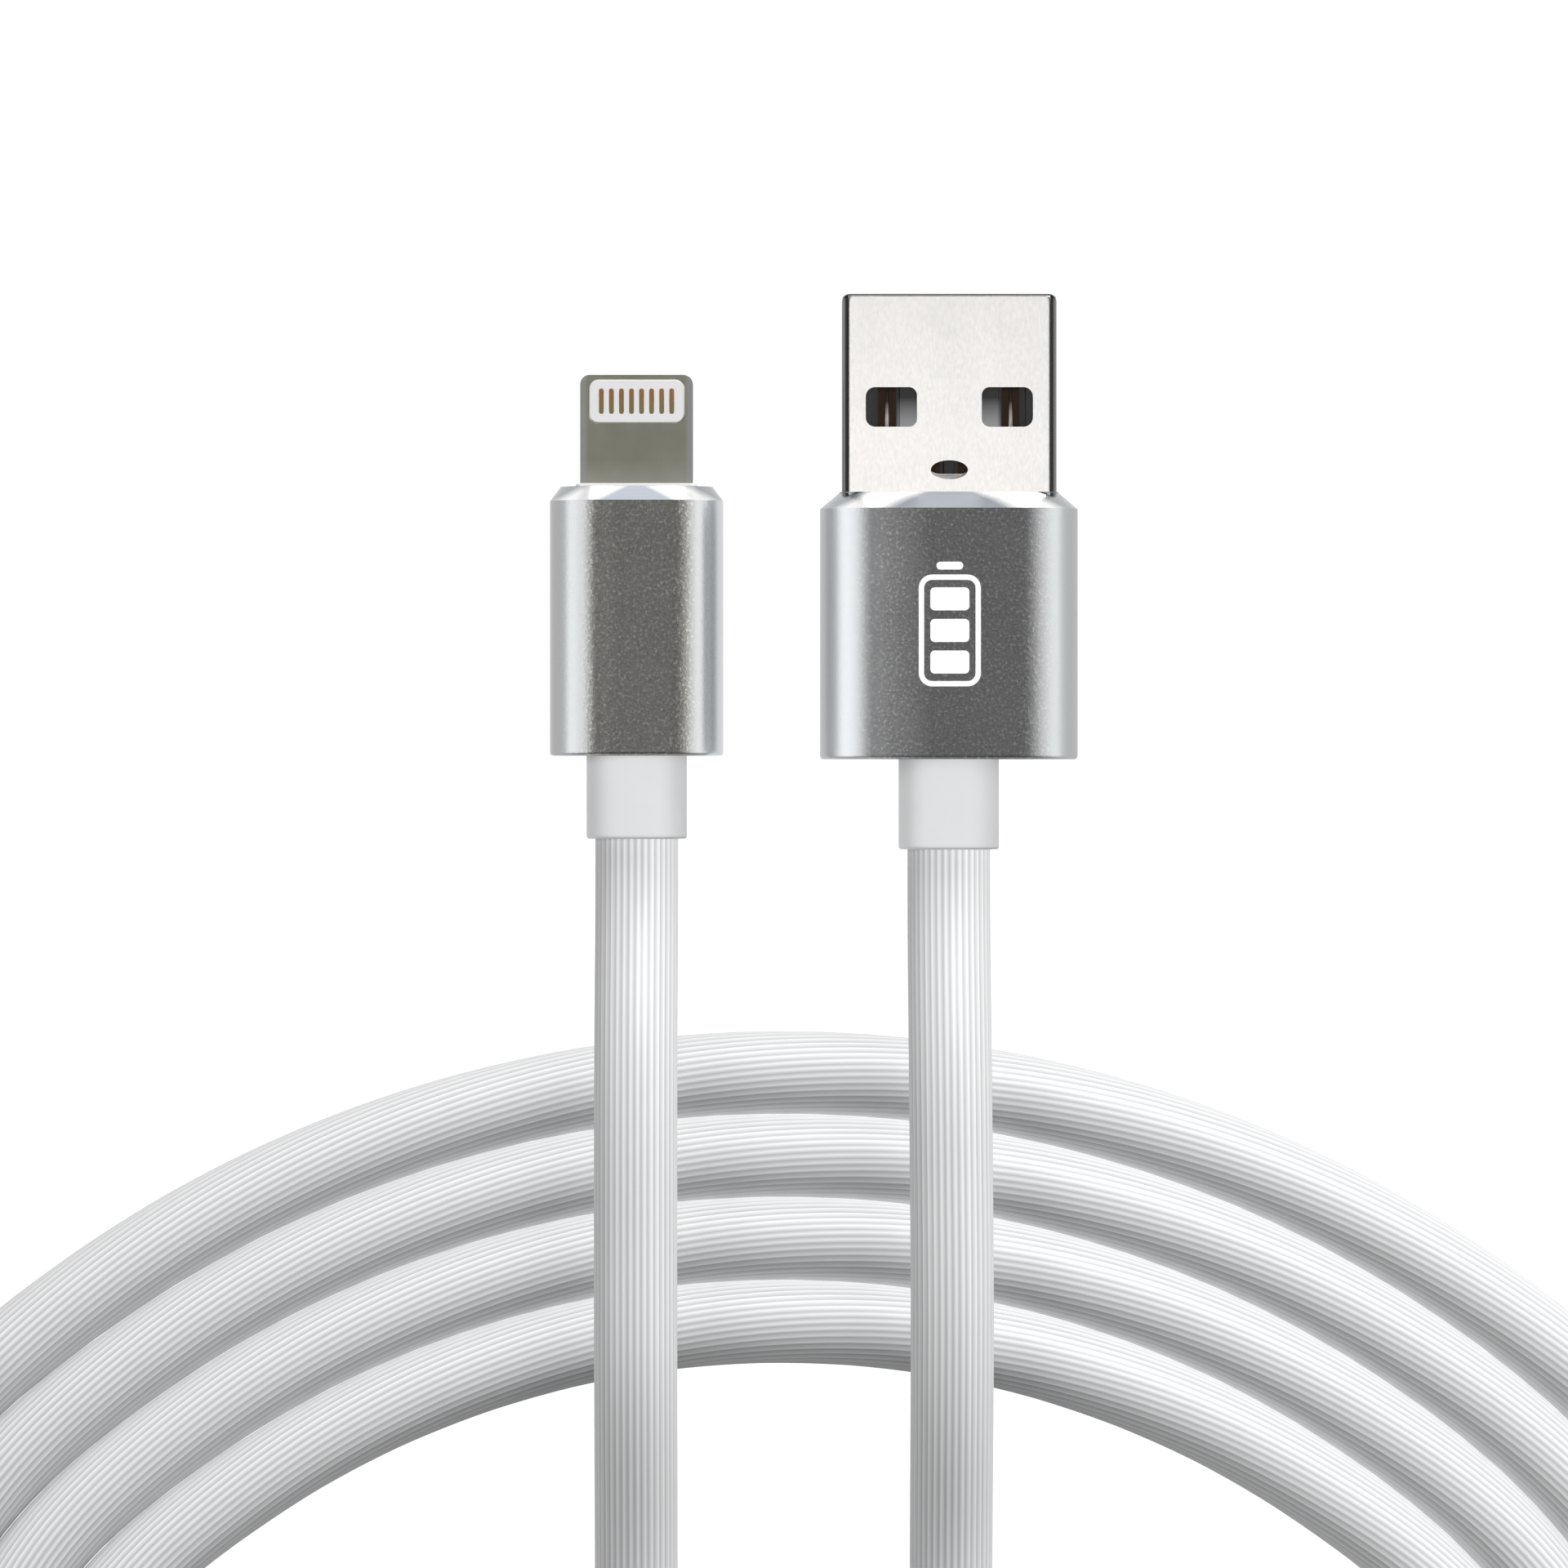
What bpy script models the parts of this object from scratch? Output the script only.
"""Charging cable: a rectangular charger plug and a reversible eight-contact phone plug on one
coiled cord. Millimetres are turned into metres by MM; +X is across the two plugs, +Y runs out of
the plugs' tips, +Z is up from the surface that everything lies on."""
import math

import bmesh
import bpy
import numpy as np

MM = 0.001
FIT = 0.06            # clearance between plug pieces that touch
CORD_GAP = 0.3        # clearance at a cord's end faces

# Charger plug (rectangular), along the line x = CHARGER_X
CHARGER_X = 7.66
CHARGER_Z = 3.9
CHARGER_HOUSING = (14.6, 7.8, 3.4)       # width, thickness, corner radius
CHARGER_HOUSING_Y = (-10.6, 4.5)
CHARGER_CHAMFER = 0.95
CHARGER_SHELL = (12.15, 4.5, 0.7)
CHARGER_SHELL_Y = (-0.4, 15.7)
SHELL_WALL = 0.3
LATCH_WINDOW = (2.82, 2.24, 3.24, 9.3)   # width, length, distance from the middle, y of its centre
WINDOW_CORNER = 0.45
VENT = (2.06, 1.02, 5.77)                # width, length, y of its centre
TONGUE_TOP = -0.05
CHARGER_CONTACT_X = (-3.5, -1.0, 1.0, 3.5)
CHARGER_CONTACT = (1.0, 0.2)

# Phone plug (flat, reversible), along the line x = PHONE_X
PHONE_X = -10.04
PHONE_Z = 3.3
PHONE_HOUSING = (9.84, 6.6, 3.1)
PHONE_HOUSING_Y = (-10.4, 4.85)
PHONE_CHAMFER = 0.8
TAB = (6.4, 1.5)                         # width, thickness
TAB_Y = (2.0, 11.2)
TAB_CORNER = 0.55
TAB_WINDOW = (5.45, 8.45, 10.95)         # width, low y, high y
TAB_SLOT = (4.8, 0.8)
PHONE_CONTACT = (0.28, 1.44, 0.1)        # width, length, thickness
PHONE_CONTACT_PITCH = 0.57
PHONE_CONTACT_Y = 9.7
PHONE_CONTACTS = 8
BOARD_THICK = 0.5

# Shared pieces behind the housings
WALL = 0.9
REAR_BORE_DEPTH = 2.2
RELIEF_RADIUS = 2.85
RELIEF_INNER = 2.55
CHARGER_RELIEF_Y = (-15.7, -8.5)
PHONE_RELIEF_Y = (-15.1, -8.3)
WIRE_RADIUS = 0.42
WIRE_COLOURS = {
    "red": (0.62, 0.03, 0.03),
    "white": (0.85, 0.85, 0.85),
    "green": (0.03, 0.35, 0.08),
    "black": (0.02, 0.02, 0.02),
}

# Cord and its coil
CORD = 4.7
CORD_RADIUS = CORD / 2
PITCH = 4.72                             # from one turn to the next
COIL_X = -1.77
COIL_TOP = -28.4                         # centreline of the outermost turn at the coil's top
TOP_RADIUS = 68.4
SIDE_RADIUS = 30.5
TOP_HALF_ANGLE = math.radians(43)
SIDE_STRAIGHT = 6.0
TURNS = 3                                # whole turns before the inner end leaves the coil
TIE_LIFT = 0.95                          # how far the cord is raised to pass over the tie
TIE_SHARE = 0.56                         # place of the tie along the coil's straight bottom
TIE_WIDTH = 8.0
TIE_THICKNESS = 0.8
TUBE_STEP = 5.5
SQUARE_END = 1.0                         # straight stretch that squares a tube's end to its relief
REST_HEIGHT = CORD_RADIUS + 0.01

CHARGER_LEAD = [
    (7.66, -19.0, 4.15), (7.67, -23.0, 5.45), (7.70, -28.0, 7.20), (7.75, -34.0, 7.75),
    (7.80, -41.0, 7.75), (7.80, -48.0, 6.45), (7.80, -55.0, 3.80), (7.90, -62.0, REST_HEIGHT),
    (8.60, -69.5, REST_HEIGHT), (10.6, -77.0, 3.35), (14.0, -84.0, 5.85), (20.7, -92.6, 7.60),
    (26.9, -95.2, 7.75), (33.9, -96.2, 7.70), (40.9, -95.1, 7.65), (45.7, -93.2, 7.05),
    (49.9, -90.1, 5.75), (52.8, -85.6, 4.05), (54.2, -80.4, 2.80), (54.6, -74.9, REST_HEIGHT),
]
PHONE_LEAD = [
    (-22.5, -90.3, REST_HEIGHT), (-16.4, -86.6, REST_HEIGHT), (-12.2, -80.6, REST_HEIGHT),
    (-10.6, -73.6, REST_HEIGHT), (-10.1, -66.0, REST_HEIGHT), (-10.06, -59.0, 2.95),
    (-10.05, -52.0, 5.20), (-10.04, -45.0, 7.40), (-10.04, -38.0, 7.80), (-10.04, -31.5, 7.65),
    (-10.04, -26.0, 6.45), (-10.04, -21.5, 4.40), (-10.04, -18.0, 3.42),
]


# ---------------------------------------------------------------- objects and materials

def clear_scene():
    for found in list(bpy.data.objects):
        bpy.data.objects.remove(found, do_unlink=True)


def material(name, colour, roughness, metallic=0.0):
    made = bpy.data.materials.get(name) or bpy.data.materials.new(name)
    made.use_nodes = True
    shader = made.node_tree.nodes["Principled BSDF"]
    shader.inputs["Base Color"].default_value = (*colour, 1.0)
    shader.inputs["Roughness"].default_value = roughness
    shader.inputs["Metallic"].default_value = metallic
    return made


def finishes():
    return {
        "aluminium": material("blasted_aluminium", (0.42, 0.42, 0.43), 0.4, 1.0),
        "nickel": material("nickel_plate", (0.75, 0.73, 0.71), 0.25, 1.0),
        "steel": material("satin_steel", (0.42, 0.41, 0.38), 0.4, 1.0),
        "gold": material("gold_contact", (0.75, 0.52, 0.22), 0.3, 1.0),
        "white": material("white_plastic", (0.85, 0.85, 0.86), 0.45),
        "black": material("black_plastic", (0.03, 0.03, 0.03), 0.5),
        "jacket": material("ribbed_jacket", (0.86, 0.87, 0.88), 0.5),
        "board": material("green_board", (0.03, 0.16, 0.07), 0.45),
        "solder": material("solder", (0.6, 0.6, 0.6), 0.35, 1.0),
        "strap": material("black_strap", (0.04, 0.04, 0.045), 0.85),
    }


def add_object(name, vertices, faces, finish, parent, smooth=True):
    """A mesh object from points in millimetres, placed by its parent."""
    mesh = bpy.data.meshes.new(name)
    mesh.from_pydata([[c * MM for c in v] for v in vertices], [], faces)
    clean = bmesh.new()
    clean.from_mesh(mesh)
    bmesh.ops.recalc_face_normals(clean, faces=clean.faces)
    clean.to_mesh(mesh)
    clean.free()
    if smooth:
        mesh.shade_smooth()
        mesh.set_sharp_from_angle(angle=math.radians(35))
    mesh.materials.append(finish)
    made = bpy.data.objects.new(name, mesh)
    bpy.context.scene.collection.objects.link(made)
    made.parent = parent
    return made


def add_centre(name, x, z):
    """An empty on a plug's long axis, which that plug's pieces are placed by."""
    made = bpy.data.objects.new(name, None)
    made.location = (x * MM, 0.0, z * MM)
    bpy.context.scene.collection.objects.link(made)
    return made


# ---------------------------------------------------------------- shapes

def rounded_rectangle(width, height, radius, per_corner=5):
    """Points round a rectangle with rounded corners; a full circle when the radius fills it."""
    radius = min(radius, width / 2, height / 2)
    full = radius > min(width, height) / 2 - 1e-6
    points = []
    for corner in range(4):
        sign_x = (1, -1, -1, 1)[corner]
        sign_y = (1, 1, -1, -1)[corner]
        middle = (sign_x * (width / 2 - radius), sign_y * (height / 2 - radius))
        for step in range(per_corner):
            share = (step + 0.5) / per_corner if full else step / (per_corner - 1)
            angle = math.pi / 2 * (corner + share)
            points.append((middle[0] + radius * math.cos(angle), middle[1] + radius * math.sin(angle)))
    return points


def circle(radius, per_corner=5):
    return rounded_rectangle(2 * radius, 2 * radius, radius, per_corner)


def add_sleeve(name, rings, finish, parent, closed=True):
    """A body lofted through rings along Y. A ring is (outline in XZ, y). A closed sleeve joins its
    last ring to its first, which leaves a way through it; an open one has flat caps."""
    count = len(rings[0][0])
    vertices = [(u, y, w) for outline, y in rings for u, w in outline]
    pairs = [(i, i + 1) for i in range(len(rings) - 1)]
    if closed:
        pairs.append((len(rings) - 1, 0))
    faces = [
        (a * count + i, a * count + (i + 1) % count, b * count + (i + 1) % count, b * count + i)
        for a, b in pairs
        for i in range(count)
    ]
    if not closed:
        faces.append(tuple(range(count)))
        faces.append(tuple(range((len(rings) - 1) * count, len(rings) * count)))
    return add_object(name, vertices, faces, finish, parent)


def add_box(name, low, high, finish, parent):
    """A box between two corners, in the plug's own millimetres."""
    outline = [(high[0], high[2]), (low[0], high[2]), (low[0], low[2]), (high[0], low[2])]
    return add_sleeve(name, [(outline, low[1]), (outline, high[1])], finish, parent, closed=False)


def add_plate(name, outline, low_z, high_z, finish, parent):
    """A flat piece: an outline in XY, thick along Z."""
    count = len(outline)
    vertices = [(x, y, z) for z in (low_z, high_z) for x, y in outline]
    sides = [(i, (i + 1) % count, count + (i + 1) % count, count + i) for i in range(count)]
    faces = [*sides, tuple(range(count)), tuple(range(count, 2 * count))]
    return add_object(name, vertices, faces, finish, parent)


def shifted(outline, x, y):
    return [(u + x, w + y) for u, w in outline]


def cut(target, *cutters):
    """Takes the cutters' shapes out of the target. The cutters stay as wire guides."""
    for cutter in cutters:
        cutter.hide_render = True
        cutter.display_type = "WIRE"
        made = target.modifiers.new(cutter.name, "BOOLEAN")
        made.operation = "DIFFERENCE"
        made.solver = "EXACT"
        made.object = cutter


def add_tube(name, points, radius, finish, parent=None, sides_level=2):
    """A round tube with filled ends along a list of points in millimetres."""
    curve = bpy.data.curves.new(name, "CURVE")
    curve.dimensions = "3D"
    spline = curve.splines.new("POLY")
    spline.points.add(len(points) - 1)
    for target, point in zip(spline.points, points):
        target.co = (point[0] * MM, point[1] * MM, point[2] * MM, 1.0)
    curve.bevel_depth = radius * MM
    curve.bevel_resolution = sides_level
    curve.use_fill_caps = True
    curve.materials.append(finish)
    made = bpy.data.objects.new(name, curve)
    bpy.context.scene.collection.objects.link(made)
    made.parent = parent
    return made


# ---------------------------------------------------------------- shared plug pieces

def add_housing(name, section, span, chamfer, opening, finish, parent):
    """A metal sleeve: chamfered nose with an opening for the connector, a hollow, and a round bore
    at the rear for the strain relief."""
    width, height, radius = section
    rear, front = span
    edge = 0.25

    def outer(inset):
        return rounded_rectangle(width - 2 * inset, height - 2 * inset, radius - inset)

    hollow = rounded_rectangle(width - 2 * WALL, height - 2 * WALL, radius - WALL)
    bore = circle(RELIEF_RADIUS + FIT)
    rings = [
        (outer(edge), rear),
        (outer(0.0), rear + edge),
        (outer(0.0), front - chamfer),
        (outer(chamfer), front),
        (opening, front),
        (opening, front - WALL - chamfer),
        (hollow, front - WALL - chamfer),
        (hollow, rear + REAR_BORE_DEPTH),
        (bore, rear + REAR_BORE_DEPTH),
        (bore, rear),
    ]
    return add_sleeve(name, rings, finish, parent)


def add_strain_relief(name, span, finish, parent):
    """A short moulded tube with an eased end, which the cord comes out of."""
    rear, front = span
    rings = [
        (circle(RELIEF_RADIUS - 0.15), rear),
        (circle(RELIEF_RADIUS), rear + 0.15),
        (circle(RELIEF_RADIUS), front),
        (circle(RELIEF_INNER), front),
        (circle(RELIEF_INNER), rear),
    ]
    return add_sleeve(name, rings, finish, parent)


def add_jacket_end(name, rear, front, finish, parent):
    """The stripped cord's last stretch, held inside the strain relief."""
    rings = [
        (circle(CORD_RADIUS), rear),
        (circle(CORD_RADIUS), front),
        (circle(1.55), front),
        (circle(1.55), rear),
    ]
    return add_sleeve(name, rings, finish, parent)


def add_crimp_ring(name, rear, finish, parent):
    """A ferrule round the bundle of wires, just in front of the jacket."""
    rings = [
        (circle(2.0), rear),
        (circle(2.0), rear + 1.2),
        (circle(1.55), rear + 1.2),
        (circle(1.55), rear),
    ]
    return add_sleeve(name, rings, finish, parent)


def add_wires(prefix, starts, bundle_front, bundle_rear, parent):
    """Four wires, from their joints at the connector back into the jacket."""
    offsets = ((-0.55, -0.55), (-0.55, 0.55), (0.55, 0.55), (0.55, -0.55))
    for (colour, rgb), start, offset in zip(WIRE_COLOURS.items(), starts, offsets):
        finish = material("wire_" + colour, rgb, 0.4)
        x, y, z = start
        run = bundle_front - y
        points = [
            start,
            (x, y + 0.2 * run, z),
            (0.65 * x + 0.35 * offset[0], y + 0.5 * run, 0.65 * z + 0.35 * offset[1]),
            (0.15 * x + 0.85 * offset[0], y + 0.85 * run, 0.15 * z + 0.85 * offset[1]),
            (offset[0], bundle_front, offset[1]),
            (offset[0], bundle_rear, offset[1]),
        ]
        add_tube(prefix + "_wire_" + colour, points, WIRE_RADIUS, finish, parent, sides_level=1)


# ---------------------------------------------------------------- charger plug

def add_charger_shell(finish, parent):
    """The rectangular metal shell, with two latch windows on each face and a vent on top."""
    width, height, radius = CHARGER_SHELL
    rear, front = CHARGER_SHELL_Y
    lip = 0.12

    def section(inset):
        return rounded_rectangle(width - 2 * inset, height - 2 * inset, radius - inset, 4)

    shell = add_sleeve(
        "charger_shell",
        [
            (section(0.0), rear),
            (section(0.0), front - lip),
            (section(lip), front),
            (section(SHELL_WALL), front),
            (section(SHELL_WALL), rear),
        ],
        finish,
        parent,
    )
    window_x, window_y, aside, window_at = LATCH_WINDOW
    for side in (-1, 1):
        outline = shifted(rounded_rectangle(window_x, window_y, WINDOW_CORNER, 3), side * aside, window_at)
        cut(shell, add_plate(f"latch_window_cutter_{side}", outline, -4.0, 4.0, finish, parent))
    vent_x, vent_y, vent_at = VENT
    outline = shifted(rounded_rectangle(vent_x, vent_y, 0.98 * vent_y / 2, 4), 0.0, vent_at)
    cut(shell, add_plate("vent_cutter", outline, 0.0, 4.0, finish, parent))
    return shell


def add_charger_tongue(finish, parent):
    """The moulded insulator: a tongue under the contacts and a block that fills the shell's base."""
    inner_x = CHARGER_SHELL[0] / 2 - SHELL_WALL - FIT
    inner_z = CHARGER_SHELL[1] / 2 - SHELL_WALL - FIT
    block_front = 4.2
    profile = [
        (-0.3, -inner_z),
        (15.2, -inner_z),
        (15.2, TONGUE_TOP - 0.3),
        (14.9, TONGUE_TOP),
        (block_front, TONGUE_TOP),
        (block_front, inner_z),
        (-0.3, inner_z),
    ]
    vertices = [(x, y, z) for x in (-inner_x + 0.3, inner_x - 0.3) for y, z in profile]
    count = len(profile)
    sides = [(i, (i + 1) % count, count + (i + 1) % count, count + i) for i in range(count)]
    faces = [*sides, tuple(range(count)), tuple(range(count, 2 * count))]
    tongue = add_object("charger_tongue", vertices, faces, finish, parent, smooth=False)
    width, thickness = CHARGER_CONTACT
    for number, x in enumerate(CHARGER_CONTACT_X, 1):
        low = (x - width / 2 - FIT, -1.0, TONGUE_TOP)
        high = (x + width / 2 + FIT, block_front + 1.0, TONGUE_TOP + thickness + 2 * FIT)
        cut(tongue, add_box(f"contact_slot_cutter_{number}", low, high, finish, parent))
    return tongue


def add_charger_contacts(finish, parent):
    """Four spring strips along the tongue, with their solder tails behind it."""
    width, thickness = CHARGER_CONTACT
    low_z = TONGUE_TOP + FIT
    profile = [
        (-3.6, low_z),
        (13.4, low_z),
        (13.4, low_z + 0.6 * thickness),
        (12.8, low_z + thickness),
        (-3.6, low_z + thickness),
    ]
    count = len(profile)
    sides = [(i, (i + 1) % count, count + (i + 1) % count, count + i) for i in range(count)]
    faces = [*sides, tuple(range(count)), tuple(range(count, 2 * count))]
    for number, x in enumerate(CHARGER_CONTACT_X, 1):
        vertices = [(x + side * width / 2, y, z) for side in (-1, 1) for y, z in profile]
        add_object(f"charger_contact_{number}", vertices, faces, finish, parent, smooth=False)


def add_solder_joints(finish, parent):
    """A dome of solder that holds each wire to its tail."""
    rings = [(0.42, 0.0), (0.36, 0.22), (0.18, 0.36)]
    base = TONGUE_TOP + CHARGER_CONTACT[1] + 2 * FIT
    sides = 8
    for number, x in enumerate(CHARGER_CONTACT_X, 1):
        vertices = [
            (x + r * math.cos(a), -2.3 + 1.4 * r * math.sin(a), base + z)
            for r, z in rings
            for a in (2 * math.pi * i / sides for i in range(sides))
        ]
        faces = [
            (low + i, low + (i + 1) % sides, low + sides + (i + 1) % sides, low + sides + i)
            for low in (k * sides for k in range(len(rings) - 1))
            for i in range(sides)
        ]
        faces += [tuple(range(sides)), tuple(range((len(rings) - 1) * sides, len(rings) * sides))]
        add_object(f"charger_solder_joint_{number}", vertices, faces, finish, parent)


def add_carrier_half(name, side, finish, parent):
    """One half of the clamshell that closes over the solder joints; side is 1 above, -1 below."""
    half_x, near, far, wall = 5.2, 0.06, 2.5, 0.5
    rear, front = -7.6, -0.55
    low_z, high_z = sorted((side * near, side * far))
    body = add_box(name, (-half_x, rear, low_z), (half_x, front, high_z), finish, parent)
    pocket_z = sorted((-side * 0.5, side * (far - wall)))
    pocket_low = (-half_x + wall, rear + wall, pocket_z[0])
    pocket_high = (half_x - wall, front + 1.0, pocket_z[1])
    cut(body, add_box(name + "_pocket_cutter", pocket_low, pocket_high, finish, parent))
    mouth = add_sleeve(
        name + "_mouth_cutter",
        [(circle(2.15), rear - 1.0), (circle(2.15), rear + 2.0)],
        finish,
        parent,
        closed=False,
    )
    cut(body, mouth)
    return body


def build_charger_plug(finish):
    centre = add_centre("charger_plug_centre", CHARGER_X, CHARGER_Z)
    width, height, radius = CHARGER_SHELL
    opening = rounded_rectangle(width + 2 * FIT, height + 2 * FIT, radius + FIT)
    add_housing(
        "charger_housing", CHARGER_HOUSING, CHARGER_HOUSING_Y, CHARGER_CHAMFER, opening,
        finish["aluminium"], centre,
    )
    add_charger_shell(finish["nickel"], centre)
    add_charger_tongue(finish["black"], centre)
    add_charger_contacts(finish["gold"], centre)
    add_solder_joints(finish["solder"], centre)
    add_carrier_half("charger_carrier_top", 1, finish["white"], centre)
    add_carrier_half("charger_carrier_bottom", -1, finish["white"], centre)
    joint_top = TONGUE_TOP + CHARGER_CONTACT[1] + 0.36 + WIRE_RADIUS + 4 * FIT
    starts = [(x, -2.0, joint_top) for x in CHARGER_CONTACT_X]
    jacket_front = -8.9
    add_wires("charger", starts, -7.0, -14.5, centre)
    add_crimp_ring("charger_crimp_ring", jacket_front + CORD_GAP, finish["steel"], centre)
    add_strain_relief("charger_strain_relief", CHARGER_RELIEF_Y, finish["white"], centre)
    add_jacket_end("charger_jacket_end", CHARGER_RELIEF_Y[0], jacket_front, finish["jacket"], centre)


# ---------------------------------------------------------------- phone plug

def add_tab_frame(finish, parent):
    """The flat metal tab: a window through it for the contacts and a slot for the board."""
    width, thickness = TAB
    rear, tip = TAB_Y
    half = width / 2
    corner = [
        (half - TAB_CORNER * (1 - math.cos(a)), tip - TAB_CORNER * (1 - math.sin(a)))
        for a in (math.pi / 2 * i / 5 for i in range(6))
    ]
    outline = [(half, rear), *corner, *[(-x, y) for x, y in reversed(corner)], (-half, rear)]
    tab = add_plate("phone_tab_frame", outline, -thickness / 2, thickness / 2, finish, parent)
    window_x, window_low, window_high = TAB_WINDOW
    middle = (window_low + window_high) / 2
    window = shifted(rounded_rectangle(window_x, window_high - window_low, 0.45, 4), 0.0, middle)
    slot_x, slot_z = TAB_SLOT
    cut(
        tab,
        add_plate("tab_window_cutter", window, -2.0, 2.0, finish, parent),
        add_box(
            "board_slot_cutter",
            (-slot_x / 2, rear - 1.0, -slot_z / 2),
            (slot_x / 2, window_low + 0.5, slot_z / 2),
            finish,
            parent,
        ),
    )
    return tab


def add_contact_insert(finish, parent):
    """The moulded block that fills the tab's window and carries the contacts on both faces."""
    window_x, window_low, window_high = TAB_WINDOW
    length = window_high - window_low
    outline = rounded_rectangle(window_x - 2 * FIT, length - 2 * FIT, 0.45 - FIT, 4)
    half = TAB[1] / 2 - PHONE_CONTACT[2] - FIT
    placed = shifted(outline, 0.0, (window_low + window_high) / 2)
    return add_plate("phone_contact_insert", placed, -half, half, finish, parent)


def add_phone_contacts(finish, parent):
    """Eight contacts on the front face and eight on the back, level with the tab's faces."""
    width, length, thickness = PHONE_CONTACT
    outer = TAB[1] / 2
    for face, side in (("front", 1), ("back", -1)):
        low, high = sorted((side * (outer - thickness), side * outer))
        for number in range(PHONE_CONTACTS):
            x = (number - (PHONE_CONTACTS - 1) / 2) * PHONE_CONTACT_PITCH
            outline = shifted(rounded_rectangle(width, length, 0.13, 3), x, PHONE_CONTACT_Y)
            add_plate(f"phone_contact_{face}_{number + 1}", outline, low, high, finish, parent)


def add_phone_electronics(finish, parent):
    """The board, its chip and capacitors, and the two stamped halves of the can over them."""
    half = BOARD_THICK / 2
    neck, wide = 2.3, 2.6
    rear, shoulder, front = -4.6, 1.6, TAB_WINDOW[1] - FIT
    outline = [
        (neck, front), (-neck, front), (-neck, shoulder), (-wide, shoulder),
        (-wide, rear), (wide, rear), (wide, shoulder), (neck, shoulder),
    ]
    add_plate("phone_board", outline, -half, half, finish["board"], parent)
    top = half + FIT
    add_box("phone_chip", (-1.3, -1.9, top), (1.3, 0.7, top + 0.6), finish["black"], parent)
    for number, x in enumerate((-1.4, 1.4), 1):
        low = (x - 0.5, -3.3, -top - 0.5)
        high = (x + 0.5, -2.7, -top)
        add_box(f"phone_capacitor_{number}", low, high, finish["gold"], parent)
    for name, side in (("phone_can_top", 1), ("phone_can_bottom", -1)):
        edge_z = sorted((side * 0.06, side * 1.55))
        can = add_box(name, (-3.1, -4.9, edge_z[0]), (3.1, 1.45, edge_z[1]), finish["steel"], parent)
        pocket_z = sorted((-side * 0.5, side * 1.35))
        pocket = add_box(
            name + "_cutter", (-2.9, -6.0, pocket_z[0]), (2.9, 1.25, pocket_z[1]), finish["steel"], parent
        )
        neck_gap = add_box(
            name + "_neck_cutter", (-2.5, 0.5, -0.5), (2.5, 2.5, 0.5), finish["steel"], parent
        )
        cut(can, pocket, neck_gap)


def build_phone_plug(finish):
    centre = add_centre("phone_plug_centre", PHONE_X, PHONE_Z)
    opening = rounded_rectangle(TAB[0] + 2 * FIT, TAB[1] + 2 * FIT, 0.1)
    add_housing(
        "phone_housing", PHONE_HOUSING, PHONE_HOUSING_Y, PHONE_CHAMFER, opening,
        finish["aluminium"], centre,
    )
    add_tab_frame(finish["steel"], centre)
    add_contact_insert(finish["white"], centre)
    add_phone_contacts(finish["gold"], centre)
    add_phone_electronics(finish, centre)
    wire_z = BOARD_THICK / 2 + WIRE_RADIUS + 2 * FIT
    starts = [(-2.1, -4.0, -wire_z), (-1.1, -4.0, wire_z), (1.1, -4.0, wire_z), (2.1, -4.0, -wire_z)]
    add_wires("phone", starts, -6.4, -14.0, centre)
    jacket_front = -8.4
    add_crimp_ring("phone_crimp_ring", jacket_front + CORD_GAP, finish["steel"], centre)
    add_strain_relief("phone_strain_relief", PHONE_RELIEF_Y, finish["white"], centre)
    add_jacket_end("phone_jacket_end", PHONE_RELIEF_Y[0], jacket_front, finish["jacket"], centre)


# ---------------------------------------------------------------- cord

def ease(share):
    share = min(max(share, 0.0), 1.0)
    return share * share * (3 - 2 * share)


def coil_track():
    """The outermost turn as stretches, anticlockwise from the right-hand side: an arc is (centre,
    start angle, end angle, radius), a straight is (start, end, way in)."""
    reach = TOP_RADIUS - SIDE_RADIUS
    aside = reach * math.sin(TOP_HALF_ANGLE)
    high = COIL_TOP - TOP_RADIUS + reach * math.cos(TOP_HALF_ANGLE)
    low = high - SIDE_STRAIGHT
    left, right = COIL_X - aside, COIL_X + aside
    first, last = math.pi / 2 - TOP_HALF_ANGLE, math.pi / 2 + TOP_HALF_ANGLE
    return [
        ((right, high), 0.0, first, SIDE_RADIUS),
        ((COIL_X, COIL_TOP - TOP_RADIUS), first, last, TOP_RADIUS),
        ((left, high), last, math.pi, SIDE_RADIUS),
        ((left - SIDE_RADIUS, high), (left - SIDE_RADIUS, low), (1, 0)),
        ((left, low), math.pi, 1.5 * math.pi, SIDE_RADIUS),
        ((left, low - SIDE_RADIUS), (right, low - SIDE_RADIUS), (0, 1)),
        ((right, low), 1.5 * math.pi, 2 * math.pi, SIDE_RADIUS),
        ((right + SIDE_RADIUS, low), (right + SIDE_RADIUS, high), (-1, 0)),
    ]


TRACK = coil_track()
BOTTOM = 5                               # the stretch along the coil's bottom, where turns shift


def stretch_length(stretch):
    if len(stretch) == 4:
        return stretch[3] * (stretch[2] - stretch[1])
    return math.dist(stretch[0], stretch[1])


TRACK_LENGTH = sum(stretch_length(s) for s in TRACK)
TRACK_ENDS = np.cumsum([0.0] + [stretch_length(s) / TRACK_LENGTH for s in TRACK])
SHIFT_START, SHIFT_END = TRACK_ENDS[BOTTOM], TRACK_ENDS[BOTTOM + 1]


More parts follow.
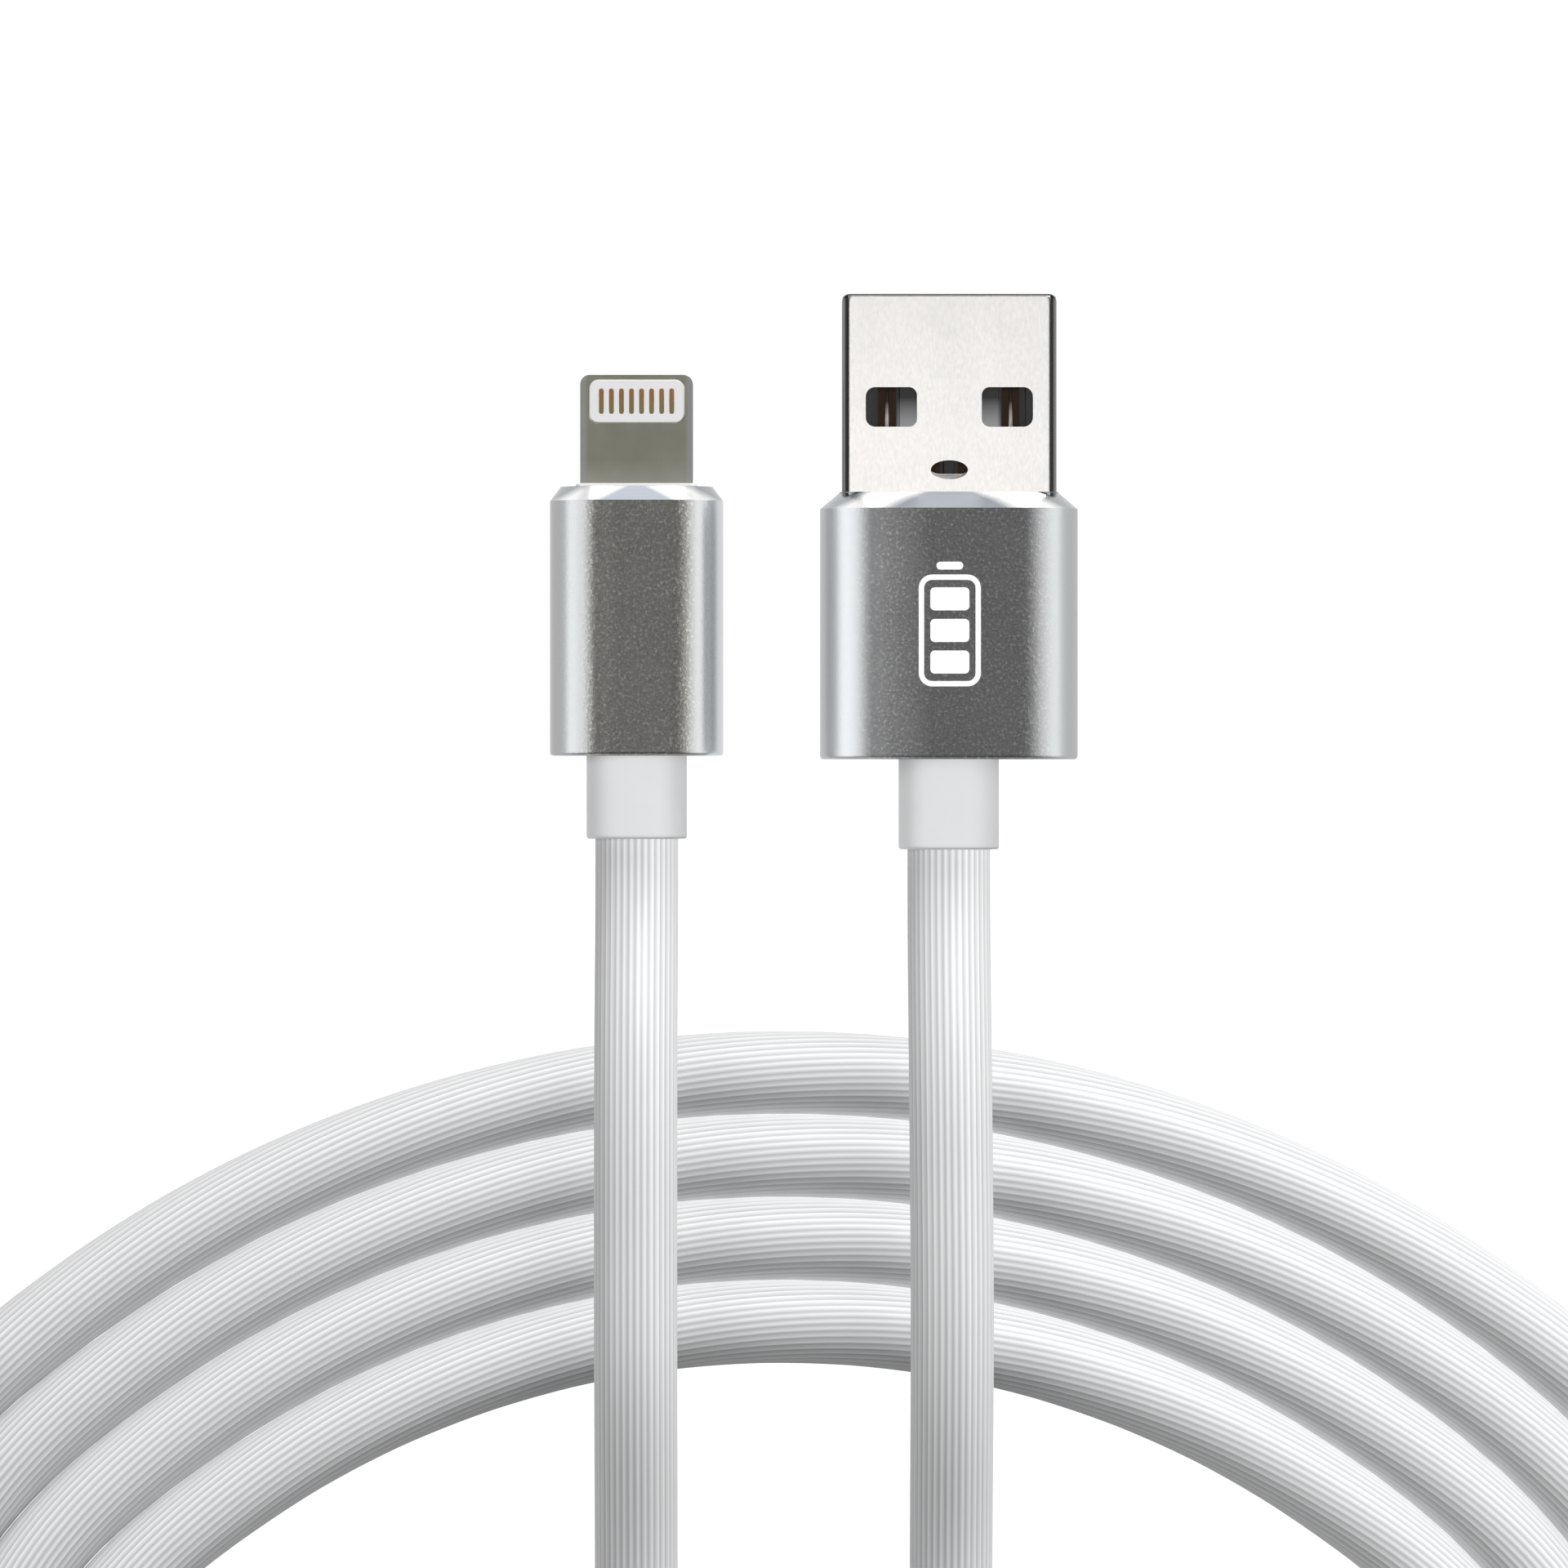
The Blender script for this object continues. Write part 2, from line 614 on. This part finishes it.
def track_point(share, inset):
    """The point at a share of the way round, inset from the outermost turn."""
    place = min(int(np.searchsorted(TRACK_ENDS, share, side="right")) - 1, len(TRACK) - 1)
    along = (share - TRACK_ENDS[place]) / (TRACK_ENDS[place + 1] - TRACK_ENDS[place])
    stretch = TRACK[place]
    if len(stretch) == 4:
        (x, y), start, end, radius = stretch
        angle = start + along * (end - start)
        return x + (radius - inset) * math.cos(angle), y + (radius - inset) * math.sin(angle)
    start, end, inward = stretch
    return tuple(a + along * (b - a) + inset * n for a, b, n in zip(start, end, inward))


def shift(share):
    """How far a turn has moved inwards, in pitches: all of it happens along the bottom."""
    return ease((share - SHIFT_START) / (SHIFT_END - SHIFT_START))


def lift(share):
    """How far the cord is raised where the tie passes under it."""
    tie = SHIFT_START + TIE_SHARE * (SHIFT_END - SHIFT_START)
    return TIE_LIFT * ease(1.6 - abs(share - tie) * TRACK_LENGTH / 12.0)


def smooth_curve(points, step):
    """Points about a step apart on the cubic spline through the given points."""
    points = np.array(points, dtype=float)
    lengths = np.linalg.norm(np.diff(points, axis=0), axis=1)
    along = np.concatenate([[0.0], np.cumsum(lengths)])
    count = len(points)
    system = np.eye(count)
    target = np.zeros((count, 3))
    for i in range(1, count - 1):
        before, after = lengths[i - 1], lengths[i]
        system[i, i - 1:i + 2] = before, 2 * (before + after), after
        rise_after = (points[i + 1] - points[i]) / after
        rise_before = (points[i] - points[i - 1]) / before
        target[i] = 6 * (rise_after - rise_before)
    bends = np.linalg.solve(system, target)
    made = []
    for place in np.linspace(0.0, along[-1], round(along[-1] / step) + 1):
        i = min(max(int(np.searchsorted(along, place)) - 1, 0), count - 2)
        span = lengths[i]
        low = (along[i + 1] - place) / span
        high = (place - along[i]) / span
        bend = ((low ** 3 - low) * bends[i] + (high ** 3 - high) * bends[i + 1]) * span ** 2 / 6
        made.append(low * points[i] + high * points[i + 1] + bend)
    return made


def add_leads(finish):
    """The two free stretches of cord, from each strain relief to its end of the coil."""
    charger_exit = (CHARGER_X, CHARGER_RELIEF_Y[0] - CORD_GAP, CHARGER_Z)
    charger_straight = (CHARGER_X, charger_exit[1] - SQUARE_END, CHARGER_Z)
    coil_start = (*track_point(0.0, 0.0), REST_HEIGHT)
    coil_start = (coil_start[0], coil_start[1] - 2 * CORD_GAP, coil_start[2])
    charger_points = smooth_curve([charger_straight, *CHARGER_LEAD, coil_start], TUBE_STEP)
    add_tube("cord_charger_lead", [charger_exit, *charger_points], CORD_RADIUS, finish)
    inner_end = track_point(SHIFT_START, TURNS * PITCH)
    coil_end = (inner_end[0] + 2 * CORD_GAP, inner_end[1], REST_HEIGHT)
    phone_exit = (PHONE_X, PHONE_RELIEF_Y[0] - CORD_GAP, PHONE_Z)
    phone_straight = (PHONE_X, phone_exit[1] - SQUARE_END, PHONE_Z)
    phone_points = smooth_curve([coil_end, *PHONE_LEAD, phone_straight], TUBE_STEP)
    add_tube("cord_phone_lead", [*phone_points, phone_exit], CORD_RADIUS, finish)


def add_coil(finish):
    """The turns' outer shape as one flat ring. It steps in where the inner end leaves, and steps
    out where the outermost turn starts."""
    steps = 72
    bevel = 1.3
    sections = []
    for i in range(steps + 1):
        share = i / steps
        inner_turn = TURNS + (0 if share <= SHIFT_START else shift(share) - 1)
        sections.append((share, shift(share), inner_turn))
    step_size = 0.002
    sections = [s for s in sections if abs(s[0] - SHIFT_START) > step_size]
    sections += [
        (SHIFT_START - step_size / 2, 0.0, TURNS),
        (SHIFT_START + step_size / 2, shift(SHIFT_START + step_size / 2), TURNS - 1),
    ]
    sections = sorted(sections)
    sections[-1] = (1.0 - step_size / 2, 1.0, TURNS)
    vertices = []
    for share, outer_turn, inner_turn in sections:
        out_x, out_y = track_point(share, outer_turn * PITCH - CORD_RADIUS)
        in_x, in_y = track_point(share, inner_turn * PITCH + CORD_RADIUS)
        width = math.dist((out_x, out_y), (in_x, in_y))
        raised = lift(share)
        for across, z in (
            (bevel, 0.0), (0.0, bevel), (0.0, CORD - bevel), (bevel, CORD),
            (width - bevel, CORD), (width, CORD - bevel), (width, bevel), (width - bevel, 0.0),
        ):
            part = across / width
            x = out_x + part * (in_x - out_x)
            y = out_y + part * (in_y - out_y)
            vertices.append((x, y, z + raised))
    sides = 8
    count = len(sections)
    faces = [
        (a * sides + i, a * sides + (i + 1) % sides, b * sides + (i + 1) % sides, b * sides + i)
        for a, b in ((k, (k + 1) % count) for k in range(count))
        for i in range(sides)
    ]
    return add_object("cord_coil", vertices, faces, finish, None)


def add_tie(finish):
    """A strap round the coil's turns at the middle of its straight bottom."""
    share = SHIFT_START + TIE_SHARE * (SHIFT_END - SHIFT_START)
    x, low = track_point(share, (shift(share) * PITCH) - CORD_RADIUS)
    _, high = track_point(share, (TURNS - 1 + shift(share)) * PITCH + CORD_RADIUS)
    slack = 0.85
    inner_y = high - low + 2 * slack
    inner_z = CORD + 2 * 0.15
    middle = ((low + high) / 2, TIE_THICKNESS + inner_z / 2)
    inner = shifted(rounded_rectangle(inner_y, inner_z, 1.6), *middle)
    outer = shifted(
        rounded_rectangle(inner_y + 2 * TIE_THICKNESS, inner_z + 2 * TIE_THICKNESS, 1.6 + TIE_THICKNESS),
        *middle,
    )
    near, far = x - TIE_WIDTH / 2, x + TIE_WIDTH / 2
    rings = [(outer, near), (outer, far), (inner, far), (inner, near)]
    count = len(outer)
    vertices = [(along, y, z) for outline, along in rings for y, z in outline]
    faces = [
        (a * count + i, a * count + (i + 1) % count, b * count + (i + 1) % count, b * count + i)
        for a, b in ((0, 1), (1, 2), (2, 3), (3, 0))
        for i in range(count)
    ]
    return add_object("coil_tie", vertices, faces, finish, None)


def main():
    clear_scene()
    finish = finishes()
    build_charger_plug(finish)
    build_phone_plug(finish)
    add_leads(finish["jacket"])
    add_coil(finish["jacket"])
    add_tie(finish["strap"])


main()
